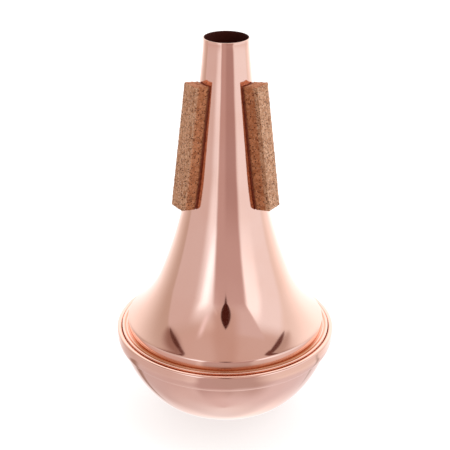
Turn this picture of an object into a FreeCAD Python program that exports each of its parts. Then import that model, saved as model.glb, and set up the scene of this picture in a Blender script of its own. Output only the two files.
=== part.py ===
import FreeCAD, Part
import math
import os

# Trumpet straight mute, all lengths in millimetres and all angles in degrees.
# It stands on the flat of its bowl with the open mouth up: the origin is the centre of that flat,
# and +Z runs up the axis. Two spun copper shells are crimped together at the rim, and cork
# strips are cemented round the neck.

# Sheet that both shells are spun from, and the room between them inside the crimp
sheet_thickness = 0.5
seam_clearance = 0.1

# Faces of a bend as tight as this are drawn as one flat, the rest as arcs
tight_bend_radius = 1.0

# Bowl: the closed end, from its flat foot up to the joggle that the horn's skirt stands on
foot_radius = 17.0
bowl_depth = 31.8
bilge_angle = 50.5
side_angle = 74.5
joggle_step = 1.5
joggle_ledge_angle = 12.0
joggle_inner_radius = 0.5
joggle_outer_radius = 1.1

# Rim: the skirt of the bowl, its bend, and the hem that is rolled in over the horn's flange
rim_radius = 52.5
rim_height = 39.2
skirt_angle = 68.0
skirt_taper = 0.8
rim_bend_radius = 1.2
hem_width = 4.6
hem_rise_angle = 7.0

# Horn: wall, shoulder and flare, then the long neck with its open mouth. The neck's straight cone
# is a share of the overall height, and the bends of flare and neck are solved to meet it.
wall_height = 3.8
wall_draft_angle = 3.0
wall_fillet_radius = 0.5
shoulder_radius = 1.5
shoulder_angle = 51.0
flare_end_angle = 21.8
neck_draft_angle = 6.8
cone_share = 0.2035
lip_bend_radius = 460.0
lip_draft_angle = 4.5
mouth_bend_radius = 20.0
lip_length = 3.0
mouth_radius = 10.3
overall_height = 183.0

# Cork strips, and the film of cement under each
cork_length = 58.0
cork_width = 9.5
cork_thickness = 7.3
cork_mouth_gap = 19.5
cement_thickness = 0.4
cement_inset = 0.4
rear_cork_angle = 90.0
left_cork_angle = 212.5
right_cork_angle = 327.5

right_angle = 90.0
half_turn = 180.0
full_turn = 360.0
foot_centre = FreeCAD.Vector(0, 0, 0)
axis_up = FreeCAD.Vector(0, 0, 1)
across = FreeCAD.Vector(0, 1, 0)


def toward(heading):
    """Unit direction in the radius and height plane: a heading of 0 points out, 90 points up."""
    angle = math.radians(heading)
    return FreeCAD.Vector(math.cos(angle), 0, math.sin(angle))


def left_of(heading):
    """Unit direction square to a heading. A rising outline has the inside of the shell there."""
    return toward(heading + right_angle)


def bend_reach(heading, new_heading):
    """How far a bend of unit radius carries an outline."""
    side = 1 if new_heading > heading else -1
    return (left_of(heading) - left_of(new_heading)) * side


def shares_to_reach(target, first, second):
    """How much of two directions adds up to a target in the radius and height plane."""
    area = first.x * second.z - first.z * second.x
    return ((target.x * second.z - target.z * second.x) / area,
            (first.x * target.z - first.z * target.x) / area)


class Outline:
    """A line in the radius and height plane, walked in straight lengths and tangent bends."""

    def __init__(self, start, heading):
        self.start = start
        self.start_heading = heading
        self.tip = start
        self.heading = heading
        self.steps = []

    def straight(self, length):
        self.steps.append((length, None))
        self.tip = self.tip + toward(self.heading) * length

    def bend(self, radius, new_heading):
        self.steps.append((radius, new_heading))
        self.tip = self.tip + bend_reach(self.heading, new_heading) * radius
        self.heading = new_heading

    def end(self, inset=0.0):
        return self.tip + left_of(self.heading) * inset

    def edges(self, inset=0.0):
        """The outline moved to its left by an inset, which keeps its bends tangent."""
        heading = self.start_heading
        point = self.start + left_of(heading) * inset
        found = []
        for size, new_heading in self.steps:
            if new_heading is None:
                end = point + toward(heading) * size
                found.append(Part.LineSegment(point, end).toShape())
            else:
                arm = (size if new_heading > heading else -size) - inset
                centre = point + left_of(heading) * arm
                middle = centre - left_of((heading + new_heading) / 2) * arm
                end = centre - left_of(new_heading) * arm
                if abs(arm) > tight_bend_radius:
                    found.append(Part.Arc(point, middle, end).toShape())
                else:
                    found.append(Part.LineSegment(point, end).toShape())
                heading = new_heading
            point = end
        return found


def spun(edges):
    """Solid of revolution of a closed run of edges."""
    face = Part.Face(Part.Wire(Part.__sortEdges__(edges)))
    return face.revolve(foot_centre, axis_up, full_turn)


def spun_sheet(outline, inset, outset):
    """Sheet between an inset and an outset of one outline."""
    inner = outline.edges(inset)
    outer = outline.edges(-outset)
    first_cap = Part.LineSegment(inner[0].Vertexes[0].Point, outer[0].Vertexes[0].Point)
    last_cap = Part.LineSegment(outline.end(inset), outline.end(-outset))
    return spun(inner + outer + [first_cap.toShape(), last_cap.toShape()])


def spun_core(outline, outset):
    """Everything between an outset of one outline and the axis."""
    outer = outline.edges(-outset)
    low = outer[0].Vertexes[0].Point
    high = outline.end(-outset)
    low_centre = FreeCAD.Vector(0, 0, low.z)
    high_centre = FreeCAD.Vector(0, 0, high.z)
    inside = [Part.LineSegment(a, b).toShape()
              for a, b in ((low, low_centre), (low_centre, high_centre), (high_centre, high))]
    return spun(outer + inside)


def bowl_to_skirt():
    """Outside of the bowl, from the centre of its flat foot to the lower edge of the rim's skirt."""
    side_top = FreeCAD.Vector(rim_radius - skirt_taper - joggle_step, 0, bowl_depth)
    foot_edge = toward(0) * foot_radius
    bilge_bend_radius, side_bend_radius = shares_to_reach(
        side_top - foot_edge, bend_reach(0, bilge_angle), bend_reach(bilge_angle, side_angle))
    joggle_bends = (bend_reach(side_angle, joggle_ledge_angle) * joggle_inner_radius
                    + bend_reach(joggle_ledge_angle, skirt_angle) * joggle_outer_radius)
    joggle_ledge = (joggle_step - joggle_bends.x) / toward(joggle_ledge_angle).x

    outline = Outline(foot_centre, 0)
    outline.straight(foot_radius)
    outline.bend(bilge_bend_radius, bilge_angle)
    outline.bend(side_bend_radius, side_angle)
    outline.bend(joggle_inner_radius, joggle_ledge_angle)
    outline.straight(joggle_ledge)
    outline.bend(joggle_outer_radius, skirt_angle)
    return outline


def add_rim(outline, gap):
    """Skirt, rim bend and hem of the bowl, or the same forms of the horn at a gap inside them."""
    hem_heading = half_turn - hem_rise_angle
    skirt_bend_radius = skirt_taper / bend_reach(right_angle, skirt_angle).x
    hem_bend = bend_reach(right_angle, hem_heading) * rim_bend_radius
    outline.bend(skirt_bend_radius - gap, right_angle)
    outline.straight(rim_height - outline.tip.z)
    outline.bend(rim_bend_radius - gap, hem_heading)
    outline.straight((hem_width + hem_bend.x) / toward(hem_rise_angle).x)


def bowl_outline():
    outline = bowl_to_skirt()
    add_rim(outline, 0)
    return outline


def horn_foot():
    """Outside of the horn inside the crimp, then its wall and shoulder up to the flare."""
    gap = sheet_thickness + seam_clearance
    skirt_foot = bowl_to_skirt().end(gap)
    outline = Outline(skirt_foot, skirt_angle)
    add_rim(outline, gap)
    outline.bend(wall_fillet_radius, right_angle + wall_draft_angle)
    outline.straight(wall_height)
    outline.bend(shoulder_radius, right_angle + shoulder_angle)
    return outline


def add_neck(outline):
    """Flare, neck, straight cone and lip, up to the mouth."""
    shoulder_heading = right_angle + shoulder_angle
    flare_heading = right_angle + flare_end_angle
    neck_heading = right_angle + neck_draft_angle
    lip_heading = right_angle + lip_draft_angle
    lip_foot = FreeCAD.Vector(mouth_radius, 0, overall_height - lip_length)
    cone_length = overall_height * cone_share
    cone = toward(neck_heading) * cone_length
    lip_bend = bend_reach(neck_heading, lip_heading) * lip_bend_radius
    mouth_bend = bend_reach(lip_heading, right_angle) * mouth_bend_radius
    flare_bend_radius, neck_bend_radius = shares_to_reach(
        lip_foot - outline.tip - cone - lip_bend - mouth_bend,
        bend_reach(shoulder_heading, flare_heading), bend_reach(flare_heading, neck_heading))
    outline.bend(flare_bend_radius, flare_heading)
    outline.bend(neck_bend_radius, neck_heading)
    outline.straight(cone_length)
    outline.bend(lip_bend_radius, lip_heading)
    outline.bend(mouth_bend_radius, right_angle)
    outline.straight(lip_length)


def horn_outline():
    outline = horn_foot()
    add_neck(outline)
    return outline


def neck_outline():
    """The part of the horn's outside above the shoulder, which the cork lies on."""
    outline = Outline(horn_foot().tip, right_angle + shoulder_angle)
    add_neck(outline)
    return outline


def point_on(outline, height):
    """Where an outline passes a height."""
    level = Part.LineSegment(axis_up * height, axis_up * height + toward(0) * rim_radius)
    return Part.Wire(outline.edges()).section(level.toShape()).Vertexes[0].Point


def strip_block(outline, reach_in, reach_out, inset):
    """Straight bar along the neck, reaching in and out from its surface, with its ends inset."""
    head_height = overall_height - cork_mouth_gap
    head = point_on(outline, head_height)
    foot = point_on(outline, head_height - cork_length * left_of(neck_draft_angle).z)
    along = (head - foot).normalize()
    out = across.cross(along)
    low = foot + along * inset
    high = foot + along * (cork_length - inset)
    corners = [low - out * reach_in, low + out * reach_out,
               high + out * reach_out, high - out * reach_in]
    side = Part.Face(Part.makePolygon(corners + corners[:1]))
    width = cork_width - 2 * inset
    side.translate(across * (-width / 2))
    return side.extrude(across * width)


def cork_strip(outline):
    block = strip_block(outline, cork_width / 2, cork_thickness, 0)
    return block.cut(spun_core(outline, cement_thickness))


def cork_cement(outline):
    block = strip_block(outline, cork_width / 2, cork_width / 2, cement_inset)
    return block.common(spun_sheet(outline, 0, cement_thickness))


def turned(shape, angle):
    copy = shape.copy()
    copy.rotate(foot_centre, axis_up, angle)
    return copy


def export(shape, node):
    shape.exportStep("parts/" + node + ".step")


def main():
    os.makedirs("parts", exist_ok=True)
    neck = neck_outline()
    cork = cork_strip(neck)
    cement = cork_cement(neck)
    export(spun_sheet(bowl_outline(), sheet_thickness, 0), "end_bowl")
    export(spun_sheet(horn_outline(), sheet_thickness, 0), "horn_shell")
    for place, angle in (("rear", rear_cork_angle), ("left", left_cork_angle),
                         ("right", right_cork_angle)):
        export(turned(cork, angle), "cork_strip_" + place)
        export(turned(cement, angle), "cork_cement_" + place)


main()
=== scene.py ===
"""Looks of a trumpet straight mute: two shells of spun copper crimped together, and three cork strips.

Lengths are in metres, and angles in degrees unless a line says otherwise. The mute stands on the flat of
its bowl with its open mouth up, and the camera looks at it along +Y and down.
"""

import math

import bpy
from mathutils import Matrix, Vector


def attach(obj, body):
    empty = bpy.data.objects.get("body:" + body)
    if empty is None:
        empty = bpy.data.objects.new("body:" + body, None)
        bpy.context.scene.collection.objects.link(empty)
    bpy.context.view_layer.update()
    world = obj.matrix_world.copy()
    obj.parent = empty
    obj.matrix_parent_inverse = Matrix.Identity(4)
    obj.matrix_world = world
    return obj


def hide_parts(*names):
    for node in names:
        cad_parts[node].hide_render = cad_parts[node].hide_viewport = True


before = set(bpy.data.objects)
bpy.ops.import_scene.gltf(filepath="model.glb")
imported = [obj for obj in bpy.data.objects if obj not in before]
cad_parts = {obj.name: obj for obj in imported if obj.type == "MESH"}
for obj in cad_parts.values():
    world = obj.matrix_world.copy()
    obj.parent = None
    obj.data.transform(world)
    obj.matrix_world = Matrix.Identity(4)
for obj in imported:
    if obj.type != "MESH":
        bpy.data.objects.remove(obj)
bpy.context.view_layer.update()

# Sheet, and the room between the two shells inside the crimp
sheet_thickness = 0.0005
seam_clearance = 0.0001

# Bowl
foot_radius = 0.017
bowl_depth = 0.0318
bilge_angle = 50.5
side_angle = 74.5
joggle_step = 0.0015
joggle_ledge_angle = 12.0
joggle_inner_radius = 0.0005
joggle_outer_radius = 0.0011

# Rim: the bowl's skirt and the bead that it is rolled into, over the horn's skirt
rim_radius = 0.0525
rim_height = 0.03927
skirt_angle = 68.0
skirt_taper = 0.0008
rim_bead_radius = 0.00112
rim_fall_angle = 70.0

# Horn: groove and ledge beside the rim, then wall and shoulder
groove_drop = 0.00025
groove_radius = 0.00036
groove_rise = 0.00106
groove_rise_angle = 88.0
ledge_edge_radius = 0.00052
ledge_width = 0.0002
ledge_bend_radius = 0.0009
ledge_fall_angle = 45.0
ledge_fall = 0.00045
wall_height = 0.0038
wall_draft_angle = 3.0
wall_fillet_radius = 0.0006
shoulder_radius = 0.0015
shoulder_angle = 51.0
flare_end_angle = 21.8
neck_draft_angle = 6.8
cone_share = 0.2035
lip_bend_radius = 0.46
lip_draft_angle = 4.5
mouth_bend_radius = 0.056
lip_length = 0.0003
mouth_radius = 0.0103
overall_height = 0.183

# Cork strips
cork_length = 0.058
cork_width = 0.0095
cork_thickness = 0.0073
cork_mouth_gap = 0.0195
cement_thickness = 0.0004
cork_angles = {"rear": 90.0, "left": 212.5, "right": 327.5}
cork_seeds = {"rear": 11.0, "left": 23.0, "right": 37.0}
cork_cell = 0.00035
cork_edge_radius = 0.0004
grain_size = 0.0011
grain_height = 0.00016
pit_size = 0.0026
pit_depth = 0.0003
pit_share = 0.4
# The outer face and the top of the sides take the paler worn tone: partly rubbing wear, partly painted light
# against the shaded sides
worn_and_lit_depth = 0.002
worn_and_lit_blur = 0.0005
foot_wear = 0.6
# Darker along the foot of each cork against the copper: painted contact shade; the top end is darkened as
# well
stain_and_shade_depth = 0.0009
stain_and_shade_blur = 0.00045
head_stain = 0.4
bedding_rounds = 4

# Marks on the copper
line_pitch = 0.0006
line_height = 0.000001
dull_line_height = 0.000006
wave_length = 0.012
wave_height = 0.00004
round_stretch = 0.02
haze_scale = 160.0
tarnish_scale = 32.0

# Tarnish and painted shade in the crimp: the radii and heights where its bands end, how soft those
# ends are, and how far it reaches to the two sides, as a share of the radius. The painted shade stands
# in for the crimp's dark reflections: darkest at the front and back, it fades toward the sides.
foot_band_radius = 0.0489
foot_band_height = 0.0426
flank_band_radius = 0.04994
flank_band_height = 0.0407
groove_band_radius = 0.0503
bead_band_radius = 0.0515
lowest_band_height = 0.038
band_blur = 0.00006
bead_band_blur = 0.00018
foot_band_blur = 0.0012
band_side = 0.71
band_side_blur = 0.2
foot_band_side = 0.91
foot_band_side_blur = 0.1

# Grain of the cork, apart from its form
wobble_scale = 900.0
wobble_reach = 0.0006
dust_scale = 2600.0
dust_share = 0.4
speck_size = 0.00064
speck_share = 0.24
seam_strength = 0.3
fleck_strength = (0.3, 0.8)
pit_strength = 0.7
stain_and_shade_strength = 0.75
grain_bump = 0.0001

# Film of cement
clot_scale = 700.0
clot_bump = 0.00006

# Where on its scale of 0 to 1 each pattern starts to change the look, and where it has changed it in full
clean_reach = (0.4, 0.75)
bare_reach = (0.35, 0.7)
polish_reach = (0.3, 0.75)
dull_reach = (0.3, 0.7)
tone_reach = (0.2, 0.75)
dry_reach = (0.2, 0.8)
speck_reach = (0.3, 0.6)
seam_reach = (0.0, 0.1)
crumb_reach = (0.15, 0.75)
pit_reach = (0.12, 0.3)
end_reach = (0.4, 0.8)

# Roughness where a pattern is weakest and where it is strongest, and shine
polished_roughness = (0.05, 0.09)
tarnish_roughness = 0.12
dull_roughness = (0.5, 0.65)
dull_metal = 0.3
dull_shine = 0.2
cork_roughness = (0.95, 0.8)
cork_shine = 0.25
cement_roughness = (0.7, 0.5)

# Colours, linear and opaque. A pair is the low and the high end of a tone.
clean_copper = ((0.955, 0.628, 0.525, 1), (0.93, 0.585, 0.475, 1))
# The three tones below darken the copper in the crimp: partly tarnish, partly painted shade for its dark
# reflections
foot_tarnish_and_shade = (0.64, 0.31, 0.185, 1)
bead_tarnish_and_shade = (0.92, 0.55, 0.42, 1)
flank_tarnish_and_shade = (0.72, 0.31, 0.18, 1)
bare_copper = ((0.05, 0.010, 0.008, 1), (0.10, 0.022, 0.015, 1))
# The first cork pair is the cut sides, also the shaded copy; the second, paler pair is the worn outer face,
# also the lit copy
cut_and_shaded_cork = ((0.51, 0.19, 0.085, 1), (0.74, 0.33, 0.17, 1))
worn_and_lit_cork = ((0.56, 0.285, 0.165, 1), (0.78, 0.47, 0.30, 1))
cork_fleck = (0.86, 0.62, 0.46, 1)
cork_seam = (0.13, 0.038, 0.018, 1)
cork_pit = (0.10, 0.035, 0.015, 1)
# Darkens each cork's foot against the copper as painted contact shade, and its top end
cork_stain_and_shade = (0.17, 0.045, 0.02, 1)
cement_tones = ((0.20, 0.034, 0.012, 1), (0.34, 0.065, 0.025, 1))
white = (1, 1, 1, 1)

# Mesh of the spun sheets
turns = 256
bend_chord = 0.0008
finest_bend_step = 1.0
coarsest_bend_step = 8.0
straight_run = 0.004
support_gap = 0.00012
edge_steps = 6
weld_distance = 1e-6

# Camera, as fitted to the photograph's outline
camera_distance = 0.569746
camera_pitch = 24.529
camera_roll = 0.252
camera_aside = -0.00023
camera_lens = 96.632
camera_sensor = 36.0
aim_height = 0.09191

nearest_seen = 0.01
farthest_seen = 50

# Floor
floor_reach = 6.0
floor_drop = 0.0002
floor_tone = (0.35, 0.32, 0.30, 1)
floor_seen_tone = (0.45, 0.45, 0.45, 1)
floor_lift = 0.68

right_angle = 90.0
half_turn = 180.0


# Outlines of the spun shells

def toward(heading):
    """Unit direction in the radius and height plane: a heading of 0 points out, 90 points up."""
    angle = math.radians(heading)
    return Vector((math.cos(angle), math.sin(angle)))


def left_of(heading):
    return toward(heading + right_angle)


def bend_reach(heading, new_heading):
    """How far a bend of unit radius carries an outline."""
    side = 1 if new_heading > heading else -1
    return (left_of(heading) - left_of(new_heading)) * side


def shares_to_reach(target, first, second):
    """How much of two directions adds up to a target."""
    area = first.x * second.y - first.y * second.x
    return ((target.x * second.y - target.y * second.x) / area,
            (first.x * target.y - first.y * target.x) / area)


class Outline:
    """A line in the radius and height plane, walked in straight lengths and tangent bends."""

    def __init__(self, start, heading):
        self.start = start
        self.start_heading = heading
        self.tip = start
        self.heading = heading
        self.steps = []

    def straight(self, length):
        self.steps.append((length, None))
        self.tip = self.tip + toward(self.heading) * length

    def bend(self, radius, new_heading):
        self.steps.append((radius, new_heading))
        self.tip = self.tip + bend_reach(self.heading, new_heading) * radius
        self.heading = new_heading

    def end(self, inset=0.0):
        return self.tip + left_of(self.heading) * inset

    def points(self, inset=0.0):
        """Points along the outline moved to its left by an inset."""
        heading = self.start_heading
        point = self.start + left_of(heading) * inset
        found = [point]
        for size, new_heading in self.steps:
            if new_heading is None:
                found += [point + toward(heading) * along for along in straight_marks(size)]
            else:
                arm = (size if new_heading > heading else -size) - inset
                centre = point + left_of(heading) * arm
                found += [centre - left_of(mark) * arm for mark in bend_marks(heading, new_heading, arm)]
                heading = new_heading
            point = found[-1]
        return found


def straight_marks(length):
    """Distances to mark on a straight length: even runs, with a mark close to each end."""
    runs = max(2, math.ceil(length / straight_run))
    gap = min(support_gap, length / (4 * runs))
    return [gap] + [length * index / runs for index in range(1, runs)] + [length - gap, length]


def bend_marks(heading, new_heading, arm):
    """Headings to mark on a bend, so that its chords stay short."""
    step = math.degrees(bend_chord / abs(arm))
    step = min(max(step, finest_bend_step), coarsest_bend_step)
    count = max(2, math.ceil(abs(new_heading - heading) / step))
    return [heading + (new_heading - heading) * index / count for index in range(1, count + 1)]


def bowl_to_skirt():
    side_top = Vector((rim_radius - skirt_taper - joggle_step, bowl_depth))
    foot_edge = toward(0) * foot_radius
    bilge_bend_radius, side_bend_radius = shares_to_reach(
        side_top - foot_edge, bend_reach(0, bilge_angle), bend_reach(bilge_angle, side_angle))
    joggle_bends = (bend_reach(side_angle, joggle_ledge_angle) * joggle_inner_radius
                    + bend_reach(joggle_ledge_angle, skirt_angle) * joggle_outer_radius)
    joggle_ledge = (joggle_step - joggle_bends.x) / toward(joggle_ledge_angle).x

    outline = Outline(Vector((0, 0)), 0)
    outline.straight(foot_radius)
    outline.bend(bilge_bend_radius, bilge_angle)
    outline.bend(side_bend_radius, side_angle)
    outline.bend(joggle_inner_radius, joggle_ledge_angle)
    outline.straight(joggle_ledge)
    outline.bend(joggle_outer_radius, skirt_angle)
    return outline


def add_rim(outline, gap):
    """Skirt and bead of the bowl, or the same forms of the horn at a gap inside them."""
    skirt_bend_radius = skirt_taper / bend_reach(right_angle, skirt_angle).x
    outline.bend(skirt_bend_radius - gap, right_angle)
    outline.straight(rim_height - outline.tip.y)
    outline.bend(rim_bead_radius - gap, half_turn + rim_fall_angle)


def bowl_outline():
    outline = bowl_to_skirt()
    add_rim(outline, 0)
    return outline


def horn_foot():
    gap = sheet_thickness + seam_clearance
    outline = Outline(bowl_to_skirt().end(gap), skirt_angle)
    add_rim(outline, gap)
    outline.straight(groove_drop)
    outline.bend(groove_radius, half_turn - groove_rise_angle)
    outline.straight(groove_rise)
    outline.bend(ledge_edge_radius, half_turn)
    outline.straight(ledge_width)
    outline.bend(ledge_bend_radius, half_turn + ledge_fall_angle)
    outline.straight(ledge_fall)
    outline.bend(wall_fillet_radius, right_angle + wall_draft_angle)
    outline.straight(wall_height)
    outline.bend(shoulder_radius, right_angle + shoulder_angle)
    return outline


def add_neck(outline):
    shoulder_heading = right_angle + shoulder_angle
    flare_heading = right_angle + flare_end_angle
    neck_heading = right_angle + neck_draft_angle
    lip_heading = right_angle + lip_draft_angle
    lip_foot = Vector((mouth_radius, overall_height - lip_length))
    cone_length = overall_height * cone_share
    cone = toward(neck_heading) * cone_length
    lip_bend = bend_reach(neck_heading, lip_heading) * lip_bend_radius
    mouth_bend = bend_reach(lip_heading, right_angle) * mouth_bend_radius
    flare_bend_radius, neck_bend_radius = shares_to_reach(
        lip_foot - outline.tip - cone - lip_bend - mouth_bend,
        bend_reach(shoulder_heading, flare_heading), bend_reach(flare_heading, neck_heading))
    outline.bend(flare_bend_radius, flare_heading)
    outline.bend(neck_bend_radius, neck_heading)
    outline.straight(cone_length)
    outline.bend(lip_bend_radius, lip_heading)
    outline.bend(mouth_bend_radius, right_angle)
    outline.straight(lip_length)


def horn_outline():
    outline = horn_foot()
    add_neck(outline)
    return outline


def neck_outline():
    outline = Outline(horn_foot().tip, right_angle + shoulder_angle)
    add_neck(outline)
    return outline


# Node helpers

def place(tree, kind, feeds=None, **settings):
    """A node with its settings. Each input is fed by a socket or set to a plain value."""
    node = tree.nodes.new(kind)
    for name, value in settings.items():
        setattr(node, name, value)
    for name, value in (feeds or {}).items():
        feed(tree, node.inputs[name], value)
    return node


def feed(tree, socket, value):
    if isinstance(value, bpy.types.NodeSocket):
        tree.links.new(value, socket)
    else:
        socket.default_value = value


def maths(tree, operation, *values):
    return place(tree, "ShaderNodeMath", dict(enumerate(values)), operation=operation).outputs[0]


def vectors(tree, operation, *values):
    node = place(tree, "ShaderNodeVectorMath", dict(enumerate(values)), operation=operation)
    return node.outputs["Value" if operation == "LENGTH" else "Vector"]


def scaled(tree, vector, factor):
    node = place(tree, "ShaderNodeVectorMath", {0: vector, "Scale": factor}, operation="SCALE")
    return node.outputs["Vector"]


def joined(tree, x=0.0, y=0.0, z=0.0):
    return place(tree, "ShaderNodeCombineXYZ", {0: x, 1: y, 2: z}).outputs["Vector"]


def split(tree, vector):
    """The X, Y and Z of a vector."""
    return place(tree, "ShaderNodeSeparateXYZ", {0: vector}).outputs


def noise(tree, spot, scale, detail, output="Fac"):
    node = place(tree, "ShaderNodeTexNoise", {"Vector": spot, "Scale": scale, "Detail": detail})
    return node.outputs[output]


def cells(tree, spot, scale, **settings):
    """A node with a pattern of cells, each with its own random colour."""
    return place(tree, "ShaderNodeTexVoronoi", {"Vector": spot, "Scale": scale}, **settings)


def inverse(tree, value):
    return maths(tree, "DIVIDE", 1.0, value)


def remainder(tree, value):
    """What a share leaves of 1."""
    return maths(tree, "SUBTRACT", 1.0, value)


def spread(tree, value, low, high, new_low=0.0, new_high=1.0):
    """A value carried smoothly from one range to another."""
    return place(tree, "ShaderNodeMapRange", {"Value": value, "From Min": low, "From Max": high,
                                              "To Min": new_low, "To Max": new_high},
                 interpolation_type="SMOOTHSTEP").outputs["Result"]


def soft_step(tree, value, edge, blur):
    """1 below an edge and 0 above it, over a blur to each side."""
    return spread(tree, value, maths(tree, "SUBTRACT", edge, blur), maths(tree, "ADD", edge, blur), 1.0, 0.0)


def blended(tree, factor, first, second):
    node = place(tree, "ShaderNodeMix", {0: factor, 6: first, 7: second}, data_type="RGBA")
    return node.outputs[2]


def new_tree(name, kind, inputs, outputs):
    """An empty node tree with named sockets: inputs are (name, socket type, default)."""
    tree = bpy.data.node_groups.new(name, kind)
    for socket_name, socket_type, default in inputs:
        socket = tree.interface.new_socket(socket_name, in_out="INPUT", socket_type=socket_type)
        if default is not None:
            socket.default_value = default
    for socket_name, socket_type in outputs:
        tree.interface.new_socket(socket_name, in_out="OUTPUT", socket_type=socket_type)
    return tree, tree.nodes.new("NodeGroupInput"), tree.nodes.new("NodeGroupOutput")


def made_by(tree, name, start_mesh, values):
    """The plain mesh object that a geometry tree makes from a mesh and its named values."""
    source = bpy.data.objects.new(name + "_source", start_mesh)
    bpy.context.scene.collection.objects.link(source)
    modifier = source.modifiers.new("make", "NODES")
    modifier.node_group = tree
    for item in tree.interface.items_tree:
        if item.in_out == "INPUT" and item.name in values:
            modifier[item.identifier] = values[item.name]
    bpy.context.view_layer.update()
    evaluated = source.evaluated_get(bpy.context.evaluated_depsgraph_get())
    mesh = bpy.data.meshes.new_from_object(evaluated)
    source.modifiers.clear()
    bpy.data.objects.remove(source)
    mesh.name = name
    piece = bpy.data.objects.new(name, mesh)
    bpy.context.scene.collection.objects.link(piece)
    return piece


# Spun sheets

def spun_sheet_tree():
    """Turns an outline about the axis: one column of points for each step of the turn, then welded."""
    tree, given, result = new_tree("Spun sheet", "GeometryNodeTree", [
        ("Outline", "NodeSocketGeometry", None),
        ("Turns", "NodeSocketInt", turns),
        ("Weld distance", "NodeSocketFloat", weld_distance),
        ("Outside", "NodeSocketMaterial", None),
        ("Inside", "NodeSocketMaterial", None)], [("Geometry", "NodeSocketGeometry")])
    outline = given.outputs["Outline"]
    count = place(tree, "GeometryNodeAttributeDomainSize", {"Geometry": outline}).outputs["Point Count"]
    columns = maths(tree, "ADD", given.outputs["Turns"], 1)
    grid = place(tree, "GeometryNodeMeshGrid", {"Vertices X": columns, "Vertices Y": count})
    index = place(tree, "GeometryNodeInputIndex").outputs["Index"]
    column = maths(tree, "FLOOR", maths(tree, "DIVIDE", maths(tree, "ADD", index, 0.5), count))
    row = maths(tree, "SUBTRACT", index, maths(tree, "MULTIPLY", column, count))
    angle = maths(tree, "MULTIPLY", maths(tree, "DIVIDE", column, given.outputs["Turns"]), math.tau)

    position = place(tree, "GeometryNodeInputPosition").outputs["Position"]
    sampled = place(tree, "GeometryNodeSampleIndex", {"Geometry": outline, "Value": position, "Index": row},
                    data_type="FLOAT_VECTOR", domain="POINT")
    radius, lining, height = split(tree, sampled.outputs["Value"])
    spot = joined(tree, maths(tree, "MULTIPLY", radius, maths(tree, "COSINE", angle)),
                  maths(tree, "MULTIPLY", radius, maths(tree, "SINE", angle)), height)
    turned = place(tree, "GeometryNodeSetPosition", {"Geometry": grid.outputs["Mesh"], "Position": spot})

    outside = place(tree, "GeometryNodeSetMaterial",
                    {"Geometry": turned.outputs["Geometry"], "Material": given.outputs["Outside"]})
    lining = place(tree, "GeometryNodeFieldOnDomain", {"Value": lining},
                   data_type="FLOAT", domain="POINT").outputs["Value"]
    lining = maths(tree, "GREATER_THAN", lining, 0.5)
    inside = place(tree, "GeometryNodeSetMaterial",
                   {"Geometry": outside.outputs["Geometry"], "Selection": lining,
                    "Material": given.outputs["Inside"]})
    welded = place(tree, "GeometryNodeMergeByDistance",
                   {"Geometry": inside.outputs["Geometry"], "Distance": given.outputs["Weld distance"]})
    smooth = place(tree, "GeometryNodeSetShadeSmooth", {"Geometry": welded.outputs["Geometry"]})
    real = place(tree, "GeometryNodeRealizeInstances", {"Geometry": smooth.outputs["Geometry"]})
    tree.links.new(real.outputs["Geometry"], result.inputs["Geometry"])
    return tree


def sheet_loop(outline, first_inset, last_inset, closed_start):
    """The closed loop round a sheet's section, as (radius, height, lining) points: lining is 1 inside.

    The far edge of the sheet is rounded over, and its length stays as it is.
    """
    half = (last_inset - first_inset) / 2
    outer = outline.points(first_inset)
    inner = outline.points(last_inset)
    ahead = toward(outline.heading)
    aside = left_of(outline.heading)
    centre = outline.end(first_inset + half) - ahead * half
    while (outer[-1] - centre).dot(ahead) > -support_gap:
        outer.pop()
        inner.pop()
    edge = [centre - aside * half * math.cos(turn) + ahead * half * math.sin(turn)
            for turn in (math.pi * index / edge_steps for index in range(edge_steps + 1))]
    middle = edge_steps // 2
    loop = [(spot, 0) for spot in outer + edge[:middle]]
    loop += [(spot, 1) for spot in edge[middle:] + inner[::-1]]
    if closed_start:
        loop.append(loop[0])
    return [(spot.x, lining, spot.y) for spot, lining in loop]


def spun_piece(tree, name, loop, outside, inside):
    mesh = bpy.data.meshes.new(name + "_outline")
    mesh.from_pydata(loop, [(index, index + 1) for index in range(len(loop) - 1)], [])
    return made_by(tree, name, mesh, {"Turns": turns, "Weld distance": weld_distance,
                                      "Outside": outside, "Inside": inside})


# Cork strips

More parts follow.
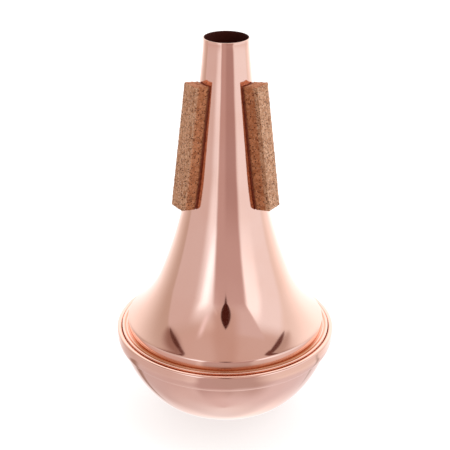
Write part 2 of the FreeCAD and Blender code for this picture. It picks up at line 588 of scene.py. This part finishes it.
def cork_blank_tree():
    """A bar of pressed cork: a fine block with rounded edges, pressed grains and torn pits."""
    tree, given, result = new_tree("Cork blank", "GeometryNodeTree", [
        ("Geometry", "NodeSocketGeometry", None),
        ("Length", "NodeSocketFloat", cork_length),
        ("Width", "NodeSocketFloat", cork_width),
        ("Thickness", "NodeSocketFloat", cork_thickness),
        ("Cell", "NodeSocketFloat", cork_cell),
        ("Edge radius", "NodeSocketFloat", cork_edge_radius),
        ("Grain size", "NodeSocketFloat", grain_size),
        ("Grain height", "NodeSocketFloat", grain_height),
        ("Pit size", "NodeSocketFloat", pit_size),
        ("Pit depth", "NodeSocketFloat", pit_depth),
        ("Pit share", "NodeSocketFloat", pit_share),
        ("Worn and lit depth", "NodeSocketFloat", worn_and_lit_depth),
        ("Worn and lit blur", "NodeSocketFloat", worn_and_lit_blur),
        ("Foot wear", "NodeSocketFloat", foot_wear),
        ("Stain and shade depth", "NodeSocketFloat", stain_and_shade_depth),
        ("Stain and shade blur", "NodeSocketFloat", stain_and_shade_blur),
        ("Head stain", "NodeSocketFloat", head_stain),
        ("Seed", "NodeSocketFloat", 0.0),
        ("Cork", "NodeSocketMaterial", None)], [("Geometry", "NodeSocketGeometry")])
    sides = [given.outputs[name] for name in ("Width", "Thickness", "Length")]
    size = joined(tree, *sides)
    counts = [maths(tree, "ADD", maths(tree, "ROUND", maths(tree, "DIVIDE", side, given.outputs["Cell"])), 1)
              for side in sides]
    block = place(tree, "GeometryNodeMeshCube", {"Size": size, "Vertices X": counts[0],
                                                 "Vertices Y": counts[1], "Vertices Z": counts[2]})
    position = place(tree, "GeometryNodeInputPosition").outputs["Position"]
    radius = given.outputs["Edge radius"]
    radii = joined(tree, radius, radius, radius)
    core = vectors(tree, "SUBTRACT", scaled(tree, size, 0.5), radii)
    kept = vectors(tree, "MAXIMUM", vectors(tree, "MINIMUM", position, core), scaled(tree, core, -1.0))
    away = vectors(tree, "NORMALIZE", vectors(tree, "SUBTRACT", position, kept))
    rounded = vectors(tree, "ADD", kept, vectors(tree, "MULTIPLY", away, radii))
    eased = place(tree, "GeometryNodeSetPosition", {"Geometry": block.outputs["Mesh"], "Position": rounded})

    grains, tearing = (cells(tree, position, inverse(tree, given.outputs[name]),
                             voronoi_dimensions="4D", feature="F1")
                       for name in ("Grain size", "Pit size"))
    for pattern in (grains, tearing):
        feed(tree, pattern.inputs["W"], given.outputs["Seed"])
    crumbs = spread(tree, grains.outputs["Distance"], *crumb_reach, 0.0, -1.0)
    torn_here = split(tree, tearing.outputs["Color"])["X"]
    whole_share = remainder(tree, given.outputs["Pit share"])
    pit = maths(tree, "MULTIPLY", maths(tree, "GREATER_THAN", torn_here, whole_share),
                spread(tree, tearing.outputs["Distance"], *pit_reach, 1.0, 0.0))
    lift = maths(tree, "SUBTRACT", maths(tree, "MULTIPLY", crumbs, given.outputs["Grain height"]),
                 maths(tree, "MULTIPLY", pit, given.outputs["Pit depth"]))
    normal = place(tree, "GeometryNodeInputNormal").outputs["Normal"]
    offset = scaled(tree, normal, lift)
    depth = split(tree, position)["Y"]
    below_face = maths(tree, "SUBTRACT", maths(tree, "MULTIPLY", given.outputs["Thickness"], 0.5), depth)
    # Paler near the outer face: rubbing wear and painted light
    rubbed_and_lit = soft_step(tree, below_face, given.outputs["Worn and lit depth"], given.outputs["Worn and lit blur"])
    facing_up = split(tree, normal)["Z"]
    head = spread(tree, facing_up, *end_reach)
    foot = spread(tree, maths(tree, "MULTIPLY", facing_up, -1.0), *end_reach)
    worn_and_lit = maths(tree, "MAXIMUM", maths(tree, "MULTIPLY", rubbed_and_lit, remainder(tree, head)),
                 maths(tree, "MULTIPLY", foot, given.outputs["Foot wear"]))
    # Darker band along the foot by the copper: painted contact shade; the top end is darkened too
    above_bed = maths(tree, "SUBTRACT", given.outputs["Thickness"], below_face)
    stain_and_shade = soft_step(tree, above_bed, given.outputs["Stain and shade depth"], given.outputs["Stain and shade blur"])
    stain_and_shade = maths(tree, "MAXIMUM", stain_and_shade, maths(tree, "MULTIPLY", head, given.outputs["Head stain"]))
    marked = eased
    for mark, value in (("worn_and_lit", worn_and_lit), ("stain_and_shade", stain_and_shade), ("pit", pit)):
        marked = place(tree, "GeometryNodeStoreNamedAttribute",
                       {"Geometry": marked.outputs["Geometry"], "Name": mark, "Value": value},
                       data_type="FLOAT", domain="POINT")
    rough = place(tree, "GeometryNodeSetPosition", {"Geometry": marked.outputs["Geometry"], "Offset": offset})
    smooth = place(tree, "GeometryNodeSetShadeSmooth", {"Geometry": rough.outputs["Geometry"]})
    real = place(tree, "GeometryNodeRealizeInstances", {"Geometry": smooth.outputs["Geometry"]})
    finished = place(tree, "GeometryNodeSetMaterial",
                     {"Geometry": real.outputs["Geometry"], "Material": given.outputs["Cork"]})
    tree.links.new(finished.outputs["Geometry"], result.inputs["Geometry"])
    return tree


def radius_at(points, height):
    """Radius of an outline, given as rising points, at a height."""
    for low, high in zip(points, points[1:]):
        if low.y <= height <= high.y:
            share = (height - low.y) / max(high.y - low.y, 1e-12)
            return low.x + (high.x - low.x) * share
    return points[-1].x


def lay_on_neck(mesh, neck, angle):
    """Moves a cork blank from its own place to the neck, its underside hollowed to the neck's curve."""
    surface = neck.points()
    bed = neck.points(-cement_thickness)
    head_height = overall_height - cork_mouth_gap
    foot_height = head_height - cork_length * left_of(neck_draft_angle).y
    head = Vector((radius_at(surface, head_height), head_height))
    foot = Vector((radius_at(surface, foot_height), foot_height))
    along = (head - foot).normalized()
    out = Vector((along.y, -along.x))
    turn = Matrix.Rotation(math.radians(angle), 4, "Z")
    for vertex in mesh.vertices:
        across, depth, run = vertex.co
        start = foot + along * (run + cork_length / 2)
        lift = 0.0
        for _ in range(bedding_rounds):
            spot = start + out * lift
            lift += radius_at(bed, spot.y) - math.hypot(spot.x, across)
        share = (depth + cork_thickness / 2) / cork_thickness
        spot = start + out * (lift + (cork_thickness - lift) * share)
        vertex.co = turn @ Vector((spot.x, across, spot.y))
    mesh.update()


# Finishes

def new_finish(name):
    """A material with an empty tree, its surface shader and its output."""
    finish = bpy.data.materials.new(name)
    finish.use_nodes = True
    tree = finish.node_tree
    tree.nodes.clear()
    shader = tree.nodes.new("ShaderNodeBsdfPrincipled")
    output = tree.nodes.new("ShaderNodeOutputMaterial")
    tree.links.new(shader.outputs["BSDF"], output.inputs["Surface"])
    return finish, tree, shader


def spinning_marks_group():
    """Marks of the spinning lathe: fine lines round the axis, soft waves in the sheet, and a polish haze."""
    tree, given, result = new_tree("Spinning marks", "ShaderNodeTree", [
        ("Line pitch", "NodeSocketFloat", line_pitch),
        ("Line height", "NodeSocketFloat", line_height),
        ("Wave length", "NodeSocketFloat", wave_length),
        ("Wave height", "NodeSocketFloat", wave_height)],
        [("Height", "NodeSocketFloat"), ("Haze", "NodeSocketFloat"), ("Tarnish", "NodeSocketFloat")])
    place_on = place(tree, "ShaderNodeTexCoord").outputs["Object"]
    flat = vectors(tree, "MULTIPLY", place_on, (1, 1, 0))
    radius = vectors(tree, "LENGTH", flat)
    facing = vectors(tree, "NORMALIZE", flat)
    section = joined(tree, radius, split(tree, place_on)["Z"])
    around = vectors(tree, "ADD", scaled(tree, facing, round_stretch), section)
    lines = noise(tree, section, inverse(tree, given.outputs["Line pitch"]), 3.0)
    waves = noise(tree, around, inverse(tree, given.outputs["Wave length"]), 1.0)
    haze = noise(tree, around, haze_scale, 4.0)
    tarnish = noise(tree, place_on, tarnish_scale, 3.0)
    height = maths(tree, "ADD", maths(tree, "MULTIPLY", lines, given.outputs["Line height"]),
                   maths(tree, "MULTIPLY", waves, given.outputs["Wave height"]))
    tree.links.new(height, result.inputs["Height"])
    tree.links.new(haze, result.inputs["Haze"])
    tree.links.new(tarnish, result.inputs["Tarnish"])
    return tree


def crevice_tarnish_and_shade_group():
    """Tarnish and painted shade in the crimp: at the wall's foot, on the ledge and in the bead.

    The painted shade stands in for the crimp's dark reflections: it is darkest at the front and back and
    fades toward the two sides.
    """
    tree, given, result = new_tree("Crevice tarnish and shade", "ShaderNodeTree", [
        ("Foot radius", "NodeSocketFloat", foot_band_radius),
        ("Foot height", "NodeSocketFloat", foot_band_height),
        ("Flank radius", "NodeSocketFloat", flank_band_radius),
        ("Flank height", "NodeSocketFloat", flank_band_height),
        ("Groove radius", "NodeSocketFloat", groove_band_radius),
        ("Bead radius", "NodeSocketFloat", bead_band_radius),
        ("Lowest height", "NodeSocketFloat", lowest_band_height),
        ("Blur", "NodeSocketFloat", band_blur),
        ("Bead blur", "NodeSocketFloat", bead_band_blur),
        ("Foot blur", "NodeSocketFloat", foot_band_blur),
        ("Side", "NodeSocketFloat", band_side),
        ("Side blur", "NodeSocketFloat", band_side_blur),
        ("Foot side", "NodeSocketFloat", foot_band_side),
        ("Foot side blur", "NodeSocketFloat", foot_band_side_blur)],
        [("Foot", "NodeSocketFloat"), ("Flank", "NodeSocketFloat"), ("Bead", "NodeSocketFloat")])
    place_on = place(tree, "ShaderNodeTexCoord").outputs["Object"]
    height = split(tree, place_on)["Z"]
    radius = vectors(tree, "LENGTH", vectors(tree, "MULTIPLY", place_on, (1, 1, 0)))
    blur = given.outputs["Blur"]
    aside = maths(tree, "ABSOLUTE", maths(tree, "DIVIDE", split(tree, place_on)["X"], radius))
    above_skirt = remainder(tree, soft_step(tree, height, given.outputs["Lowest height"], blur))
    crimp = maths(tree, "MULTIPLY", above_skirt,
                  soft_step(tree, aside, given.outputs["Side"], given.outputs["Side blur"]))
    foot_crimp = maths(tree, "MULTIPLY", above_skirt,
                       soft_step(tree, aside, given.outputs["Foot side"], given.outputs["Foot side blur"]))
    at_foot = maths(tree, "MULTIPLY", soft_step(tree, radius, given.outputs["Foot radius"], blur),
                    soft_step(tree, height, given.outputs["Foot height"], given.outputs["Foot blur"]))
    before_flank = soft_step(tree, radius, given.outputs["Flank radius"], blur)
    before_groove = soft_step(tree, radius, given.outputs["Groove radius"], blur)
    before_bead = soft_step(tree, radius, given.outputs["Bead radius"], given.outputs["Bead blur"])
    on_flank = maths(tree, "MULTIPLY", maths(tree, "SUBTRACT", before_groove, before_flank),
                     soft_step(tree, height, given.outputs["Flank height"], blur))
    in_bead = maths(tree, "SUBTRACT", before_bead, before_groove)
    tree.links.new(maths(tree, "MULTIPLY", foot_crimp, at_foot), result.inputs["Foot"])
    tree.links.new(maths(tree, "MULTIPLY", crimp, on_flank), result.inputs["Flank"])
    tree.links.new(maths(tree, "MULTIPLY", crimp, in_bead), result.inputs["Bead"])
    return tree


def use_group(tree, group, **values):
    node = tree.nodes.new("ShaderNodeGroup")
    node.node_tree = group
    for name, value in values.items():
        feed(tree, node.inputs[name.replace("_", " ").capitalize()], value)
    return node


def raised(tree, height):
    """The normal that a height in metres gives."""
    bump = place(tree, "ShaderNodeBump", {"Height": height, "Strength": 1.0, "Distance": 1.0})
    return bump.outputs["Normal"]


def polished_copper(marks, crevices):
    finish, tree, shader = new_finish("polished_copper")
    marked = use_group(tree, marks)
    tarnished_and_shaded = use_group(tree, crevices)
    colour = blended(tree, spread(tree, marked.outputs["Tarnish"], *clean_reach), *clean_copper)
    # Bands in the crimp: tarnish and painted shade, darker at the front and back than at the sides
    colour = blended(tree, tarnished_and_shaded.outputs["Foot"], colour, foot_tarnish_and_shade)
    colour = blended(tree, tarnished_and_shaded.outputs["Bead"], colour, bead_tarnish_and_shade)
    colour = blended(tree, tarnished_and_shaded.outputs["Flank"], colour, flank_tarnish_and_shade)
    tree.links.new(colour, shader.inputs["Base Color"])
    crevice = maths(tree, "MAXIMUM", tarnished_and_shaded.outputs["Foot"], tarnished_and_shaded.outputs["Flank"])
    roughness = maths(tree, "ADD", spread(tree, marked.outputs["Haze"], *polish_reach, *polished_roughness),
                      maths(tree, "MULTIPLY", crevice, tarnish_roughness))
    tree.links.new(roughness, shader.inputs["Roughness"])
    tree.links.new(raised(tree, marked.outputs["Height"]), shader.inputs["Normal"])
    shader.inputs["Metallic"].default_value = 1.0
    return finish


def dull_copper(marks):
    """Inside of the shells: bare sheet that has gone dark and was never polished."""
    finish, tree, shader = new_finish("dull_copper")
    marked = use_group(tree, marks, line_height=dull_line_height)
    colour = blended(tree, spread(tree, marked.outputs["Tarnish"], *bare_reach), *bare_copper)
    tree.links.new(colour, shader.inputs["Base Color"])
    roughness = spread(tree, marked.outputs["Haze"], *dull_reach, *dull_roughness)
    tree.links.new(roughness, shader.inputs["Roughness"])
    tree.links.new(raised(tree, marked.outputs["Height"]), shader.inputs["Normal"])
    shader.inputs["Metallic"].default_value = dull_metal
    shader.inputs["Specular IOR Level"].default_value = dull_shine
    return finish


def cork_grain_group():
    """Pressed cork grains: a tone for each grain, dark seams and specks, pale flecks, and their height."""
    tree, given, result = new_tree("Cork grain", "ShaderNodeTree", [
        ("Grain size", "NodeSocketFloat", grain_size),
        ("Speck size", "NodeSocketFloat", speck_size),
        ("Speck share", "NodeSocketFloat", speck_share)],
        [("Tone", "NodeSocketFloat"), ("Dark", "NodeSocketFloat"), ("Pale", "NodeSocketFloat"),
         ("Height", "NodeSocketFloat")])
    place_on = place(tree, "ShaderNodeTexCoord").outputs["Object"]
    wobble = noise(tree, place_on, wobble_scale, 3.0, "Color")
    shift = scaled(tree, vectors(tree, "SUBTRACT", wobble, (0.5, 0.5, 0.5)), wobble_reach)
    spot = vectors(tree, "ADD", place_on, shift)
    grain_scale = inverse(tree, given.outputs["Grain size"])
    grains = cells(tree, spot, grain_scale, feature="F1")
    edges = cells(tree, spot, grain_scale, feature="DISTANCE_TO_EDGE").outputs["Distance"]
    tone = split(tree, grains.outputs["Color"])["X"]
    specks = cells(tree, spot, inverse(tree, given.outputs["Speck size"]), feature="F1")
    lots = split(tree, specks.outputs["Color"])
    speck_core = spread(tree, specks.outputs["Distance"], *speck_reach, 1.0, 0.0)
    plain_share = remainder(tree, given.outputs["Speck share"])
    dark = maths(tree, "MULTIPLY", maths(tree, "GREATER_THAN", lots["X"], plain_share), speck_core)
    pale = maths(tree, "MULTIPLY", maths(tree, "GREATER_THAN", lots["Y"], plain_share), speck_core)
    seam = spread(tree, edges, *seam_reach, 1.0, 0.0)
    dust = noise(tree, place_on, dust_scale, 4.0)
    both = maths(tree, "MAXIMUM", dark, maths(tree, "MULTIPLY", seam, seam_strength))
    mixed_tone = maths(tree, "ADD", maths(tree, "MULTIPLY", tone, 1 - dust_share),
                       maths(tree, "MULTIPLY", dust, dust_share))
    height = maths(tree, "SUBTRACT", dust, both)
    tree.links.new(mixed_tone, result.inputs["Tone"])
    tree.links.new(both, result.inputs["Dark"])
    tree.links.new(pale, result.inputs["Pale"])
    tree.links.new(height, result.inputs["Height"])
    return tree


def pressed_cork(grain):
    finish, tree, shader = new_finish("pressed_cork")
    grained = use_group(tree, grain)
    # Worn outer face: paler cork, partly wear and partly painted light; the sides keep the darker, shaded
    # tone
    worn_and_lit = place(tree, "ShaderNodeAttribute", attribute_name="worn_and_lit").outputs["Fac"]
    shade = spread(tree, grained.outputs["Tone"], *tone_reach)
    tone = blended(tree, worn_and_lit, blended(tree, shade, *cut_and_shaded_cork), blended(tree, shade, *worn_and_lit_cork))
    fleck = maths(tree, "MULTIPLY", grained.outputs["Pale"], spread(tree, worn_and_lit, 0.0, 1.0, *fleck_strength))
    colour = blended(tree, fleck, tone, cork_fleck)
    colour = blended(tree, grained.outputs["Dark"], colour, cork_seam)
    pits = place(tree, "ShaderNodeAttribute", attribute_name="pit").outputs["Fac"]
    colour = blended(tree, maths(tree, "MULTIPLY", pits, pit_strength), colour, cork_pit)
    # Painted contact shade along the cork's foot, and the darker top end
    stain_and_shade = place(tree, "ShaderNodeAttribute", attribute_name="stain_and_shade").outputs["Fac"]
    colour = blended(tree, maths(tree, "MULTIPLY", stain_and_shade, stain_and_shade_strength), colour, cork_stain_and_shade)
    tree.links.new(colour, shader.inputs["Base Color"])
    lift = maths(tree, "MULTIPLY", grained.outputs["Height"], grain_bump)
    tree.links.new(raised(tree, lift), shader.inputs["Normal"])
    roughness = spread(tree, grained.outputs["Tone"], *dry_reach, *cork_roughness)
    tree.links.new(roughness, shader.inputs["Roughness"])
    shader.inputs["Specular IOR Level"].default_value = cork_shine
    return finish


def dried_cement():
    """The film under the corks: brittle dark amber, a little glossy."""
    finish, tree, shader = new_finish("dried_cement")
    place_on = place(tree, "ShaderNodeTexCoord").outputs["Object"]
    clots = noise(tree, place_on, clot_scale, 3.0)
    colour = blended(tree, spread(tree, clots, *bare_reach), *cement_tones)
    tree.links.new(colour, shader.inputs["Base Color"])
    tree.links.new(spread(tree, clots, *dull_reach, *cement_roughness), shader.inputs["Roughness"])
    tree.links.new(raised(tree, maths(tree, "MULTIPLY", clots, clot_bump)), shader.inputs["Normal"])
    return finish


# Stage

def studio_card_group():
    """Mask of one studio card or lamp face, seen from the mute by azimuth and elevation in degrees.

    Azimuth 0 is the camera's side and grows to its right. Lean is azimuth gained for each degree of
    elevation, and Leaf 1 draws the card in to points at its top and foot.
    """
    tree, given, result = new_tree("Studio card", "ShaderNodeTree", [
        ("Azimuth", "NodeSocketFloat", 0.0), ("Elevation", "NodeSocketFloat", 0.0),
        ("Half width", "NodeSocketFloat", 10.0), ("Half height", "NodeSocketFloat", 10.0),
        ("Side blur", "NodeSocketFloat", 2.0), ("End blur", "NodeSocketFloat", 2.0),
        ("Lean", "NodeSocketFloat", 0.0), ("Leaf", "NodeSocketFloat", 0.0)], [("Mask", "NodeSocketFloat")])
    direction = place(tree, "ShaderNodeTexCoord").outputs["Generated"]
    right, ahead, upward = split(tree, vectors(tree, "NORMALIZE", direction))
    toward_camera = maths(tree, "MULTIPLY", ahead, -1.0)
    azimuth = maths(tree, "DEGREES", maths(tree, "ARCTAN2", right, toward_camera))
    elevation = maths(tree, "DEGREES", maths(tree, "ARCSINE", upward))
    above = maths(tree, "SUBTRACT", elevation, given.outputs["Elevation"])
    beside = maths(tree, "SUBTRACT", maths(tree, "SUBTRACT", azimuth, given.outputs["Azimuth"]),
                   maths(tree, "MULTIPLY", above, given.outputs["Lean"]))
    beside = maths(tree, "WRAP", beside, -half_turn, half_turn)
    up = maths(tree, "DIVIDE", above, given.outputs["Half height"])
    up_squared = maths(tree, "MULTIPLY", up, up)
    drawn_in = remainder(tree, maths(tree, "MULTIPLY", given.outputs["Leaf"], up_squared))
    width = maths(tree, "MULTIPLY", given.outputs["Half width"], drawn_in)
    across = edge_mask(tree, beside, width, given.outputs["Side blur"])
    upright = edge_mask(tree, above, given.outputs["Half height"], given.outputs["End blur"])
    tree.links.new(maths(tree, "MULTIPLY", across, upright), result.inputs["Mask"])
    return tree


def edge_mask(tree, offset, half, blur):
    """1 within half a size of a middle, and 0 outside it, over a blurred edge."""
    low = maths(tree, "SUBTRACT", half, blur)
    high = maths(tree, "ADD", half, blur)
    return spread(tree, maths(tree, "ABSOLUTE", offset), low, high, 1.0, 0.0)


studio_walls = (1.33, 1.36, 1.37)
room_light = (2.10, 2.16, 2.22)
room_front = (0.62, 0.46, 0.36)
room_front_card = {"azimuth": -18.0, "elevation": 0.0, "half_width": 80.0, "half_height": 120.0,
                   "side_blur": 30.0}
card_inputs = ("azimuth", "elevation", "half_width", "half_height", "side_blur", "end_blur", "lean", "leaf")
studio_cards = [
    # what it is, its colour, and the card inputs
    ("floor below", (0.89, 0.91, 0.95), 0, -90, 400, 26, 1, 10, 0, 0),
    ("floor in front", (0.74, 0.66, 0.68), -15, -90, 75, 26, 60, 10, 0, 0),
    ("back left cloth", (1.24, 1.24, 1.24), -150, -10, 30, 18, 14, 10, 0, 0),
    ("low back left cloth", (1.08, 1.08, 1.09), -152, -47, 32, 14, 14, 8, 0, 0),
    ("low back right cloth", (1.18, 1.16, 1.15), 150, -46, 24, 14, 12, 7, 0, 0),
    ("far right cloth", (1.24, 1.23, 1.22), 115, 3, 20, 24, 12, 12, 0, 0),
    ("left cloth", (0.58, 0.50, 0.45), -80, 12, 48.5, 53, 29, 14, 0.2, 0),
    ("low left cloth", (0.65, 0.57, 0.58), -89, -51, 64, 21.5, 24, 17, -0.2, 0),
    ("low right cloth", (0.78, 0.74, 0.79), 89, -56, 56, 22, 30, 11, 1.1, 0),
    ("left card", (0.69, 0.62, 0.62), -60, 3, 37, 33.5, 2.2, 12, 0.34, 0),
    ("right cloth", (0.86, 0.83, 0.81), 81, 15, 37, 55, 20, 11, -0.1, 0),
    ("right lamp face", (0.93, 0.96, 1.01), 62, 9, 34.5, 31, 5.4, 2.8, -0.4, 0),
    ("right lamp glow", (1.21, 1.30, 1.38), 44, 16, 15, 12.6, 7, 9.5, -0.3, 0),
    ("left cloth's foot", (0.65, 0.51, 0.49), -80, -22, 50, 8, 15, 3.5, 0, 0),
    ("right cloth's foot", (0.80, 0.70, 0.69), 82, -22, 50, 8, 15, 3.5, 0, 0),
    ("ceiling", (0.64, 0.53, 0.50), 3, 65, 97, 28, 10, 8.5, 0, 0),
    ("leaning card", (0.68, 0.59, 0.59), 18, 28, 28, 17, 2.1, 3, 1, 0),
    ("strip halo", (1.00, 1.07, 1.15), -29.5, 8, 16.5, 19, 9.5, 10, -0.3, 0),
    ("strip lamp", (1.35, 1.60, 1.76), -32, 10.5, 7, 7.8, 5.8, 5, -0.72, 0),
    ("light streak", (0.97, 0.93, 1.00), -34, 35, 2.8, 9.2, 4.3, 5, -0.64, 0),
    ("front card", (0.55, 0.42, 0.41), 4, -10, 27.5, 27.5, 3.8, 8, 0.15, 0),
    ("ceiling middle", (0.58, 0.45, 0.41), 1, 57, 20, 36, 10, 8, 0.07, 0),
    ("front card's shade", (0.45, 0.32, 0.31), 17, -8, 18, 7.5, 6.5, 6.5, 0, 0),
    ("low front card, left", (0.53, 0.42, 0.42), -7, -46, 30.5, 22.5, 8.5, 9.4, 0.43, 0),
    ("low front card, right", (0.52, 0.43, 0.42), 23, -45, 32.5, 23, 21, 12.5, -0.54, 0),
    ("left flag's shade", (0.31, 0.19, 0.16), -82, 45, 9.5, 15.5, 6.5, 3.3, 0.45, 1),
    ("left flag", (0.11, 0.04, 0.03), -77, 45, 3.2, 14, 0.9, 2, 0.63, 1),
    ("left flag's foot", (0.13, 0.045, 0.035), -72, 55, 2.4, 3.2, 0.9, 1, 0.3, 0),
    ("right flag's shade", (0.50, 0.40, 0.36), 87, 47, 5.5, 16, 5, 3, -0.67, 1),
    ("right flag", (0.14, 0.06, 0.05), 80.5, 47.5, 3.4, 15.5, 0.9, 2, -0.7, 1),
    ("right flag's foot", (0.16, 0.07, 0.055), 73, 56, 3.2, 2.6, 0.9, 1, -0.9, 0),
    ("left lamp stand", (0.40, 0.29, 0.25), -134, -41, 12, 9, 7, 2, 2.6, 1),
    ("right lamp stand", (0.52, 0.47, 0.45), 129, -38, 3.9, 9.5, 3.2, 2, -1.9, 1),
    ("lens", (0.065, 0.015, 0.010), 1, 27, 8, 13.5, 0.8, 1, 0, 1),
]


def studio_world():
    """White all round for the camera. Lamps, cards and ceiling for what the copper mirrors."""
    world = bpy.data.worlds.new("studio")
    bpy.context.scene.world = world
    world.use_nodes = True
    tree = world.node_tree
    tree.nodes.clear()
    card = studio_card_group()
    colour = place(tree, "ShaderNodeRGB").outputs[0]
    colour.default_value = (*studio_walls, 1)
    for name, shade, *values in studio_cards:
        mask = use_group(tree, card, **dict(zip(card_inputs, values)))
        mask.label = name
        colour = blended(tree, mask.outputs["Mask"], colour, (*shade, 1))
    path = place(tree, "ShaderNodeLightPath")
    front = use_group(tree, card, **room_front_card)
    room = blended(tree, front.outputs["Mask"], (*room_light, 1), (*room_front, 1))
    colour = blended(tree, path.outputs["Is Diffuse Ray"], colour, room)
    colour = blended(tree, path.outputs["Is Camera Ray"], colour, white)
    background = place(tree, "ShaderNodeBackground", {"Color": colour, "Strength": 1.0})
    output = tree.nodes.new("ShaderNodeOutputWorld")
    tree.links.new(background.outputs[0], output.inputs["Surface"])


def studio_floor():
    """Pale floor. The camera sees it lifted to white, with the mute's soft shadow."""
    finish = bpy.data.materials.new("floor_paint")
    finish.use_nodes = True
    tree = finish.node_tree
    tree.nodes.clear()
    paint = place(tree, "ShaderNodeBsdfDiffuse", {"Color": floor_tone}).outputs[0]
    seen_paint = place(tree, "ShaderNodeBsdfDiffuse", {"Color": floor_seen_tone}).outputs[0]
    lift = place(tree, "ShaderNodeEmission", {"Color": white, "Strength": floor_lift}).outputs[0]
    lifted = place(tree, "ShaderNodeAddShader", {0: seen_paint, 1: lift}).outputs[0]
    seen = place(tree, "ShaderNodeLightPath").outputs["Is Camera Ray"]
    mix = place(tree, "ShaderNodeMixShader", {0: seen, 1: paint, 2: lifted}).outputs[0]
    output = tree.nodes.new("ShaderNodeOutputMaterial")
    tree.links.new(mix, output.inputs["Surface"])

    mesh = bpy.data.meshes.new("floor")
    corners = [(x * floor_reach, y * floor_reach, -floor_drop)
               for x, y in ((-1, -1), (1, -1), (1, 1), (-1, 1))]
    mesh.from_pydata(corners, [], [(0, 1, 2, 3)])
    mesh.materials.append(finish)
    floor = bpy.data.objects.new("floor", mesh)
    bpy.context.scene.collection.objects.link(floor)
    floor.visible_glossy = False


def photo_camera():
    data = bpy.data.cameras.new("camera")
    data.lens = camera_lens
    data.sensor_width = camera_sensor
    data.clip_start = nearest_seen
    data.clip_end = farthest_seen
    camera = bpy.data.objects.new("camera", data)
    bpy.context.scene.collection.objects.link(camera)
    pitch = math.radians(camera_pitch)
    aim = Vector((camera_aside, 0, aim_height))
    back = Vector((0, -math.cos(pitch), math.sin(pitch)))
    turn = (-back).to_track_quat("-Z", "Y").to_matrix().to_4x4()
    roll = Matrix.Rotation(math.radians(camera_roll), 4, "Z")
    camera.matrix_world = Matrix.Translation(aim + back * camera_distance) @ turn @ roll
    bpy.context.scene.camera = camera


# The mute

def make_shells():
    marks = spinning_marks_group()
    polished = polished_copper(marks, crevice_tarnish_and_shade_group())
    dull = dull_copper(marks)
    tree = spun_sheet_tree()
    horn_loop = sheet_loop(horn_outline(), 0.0, sheet_thickness, True)
    bowl_loop = sheet_loop(bowl_outline(), 0.0, sheet_thickness, False)
    horn = spun_piece(tree, "spun_horn", horn_loop, polished, dull)
    bowl = spun_piece(tree, "spun_bowl", bowl_loop, polished, dull)
    for piece, node in ((horn, "horn_shell"), (bowl, "end_bowl")):
        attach(piece, "root")
        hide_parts(node)


def make_corks():
    cork = pressed_cork(cork_grain_group())
    cement = dried_cement()
    tree = cork_blank_tree()
    neck = neck_outline()
    for name, angle in cork_angles.items():
        piece = made_by(tree, "cork_" + name, bpy.data.meshes.new("cork_start"), {
            "Length": cork_length, "Width": cork_width, "Thickness": cork_thickness, "Cell": cork_cell,
            "Edge radius": cork_edge_radius, "Grain size": grain_size, "Grain height": grain_height,
            "Pit size": pit_size, "Pit depth": pit_depth, "Pit share": pit_share,
            "Worn and lit depth": worn_and_lit_depth, "Worn and lit blur": worn_and_lit_blur, "Foot wear": foot_wear,
            "Stain and shade depth": stain_and_shade_depth, "Stain and shade blur": stain_and_shade_blur, "Head stain": head_stain,
            "Seed": cork_seeds[name], "Cork": cork})
        lay_on_neck(piece.data, neck, angle)
        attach(piece, "root")
        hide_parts("cork_strip_" + name)
        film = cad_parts["cork_cement_" + name]
        for slot in film.material_slots:
            slot.material = cement


photo_camera()
studio_world()
studio_floor()
make_shells()
make_corks()
bpy.context.scene.view_settings.view_transform = "Standard"
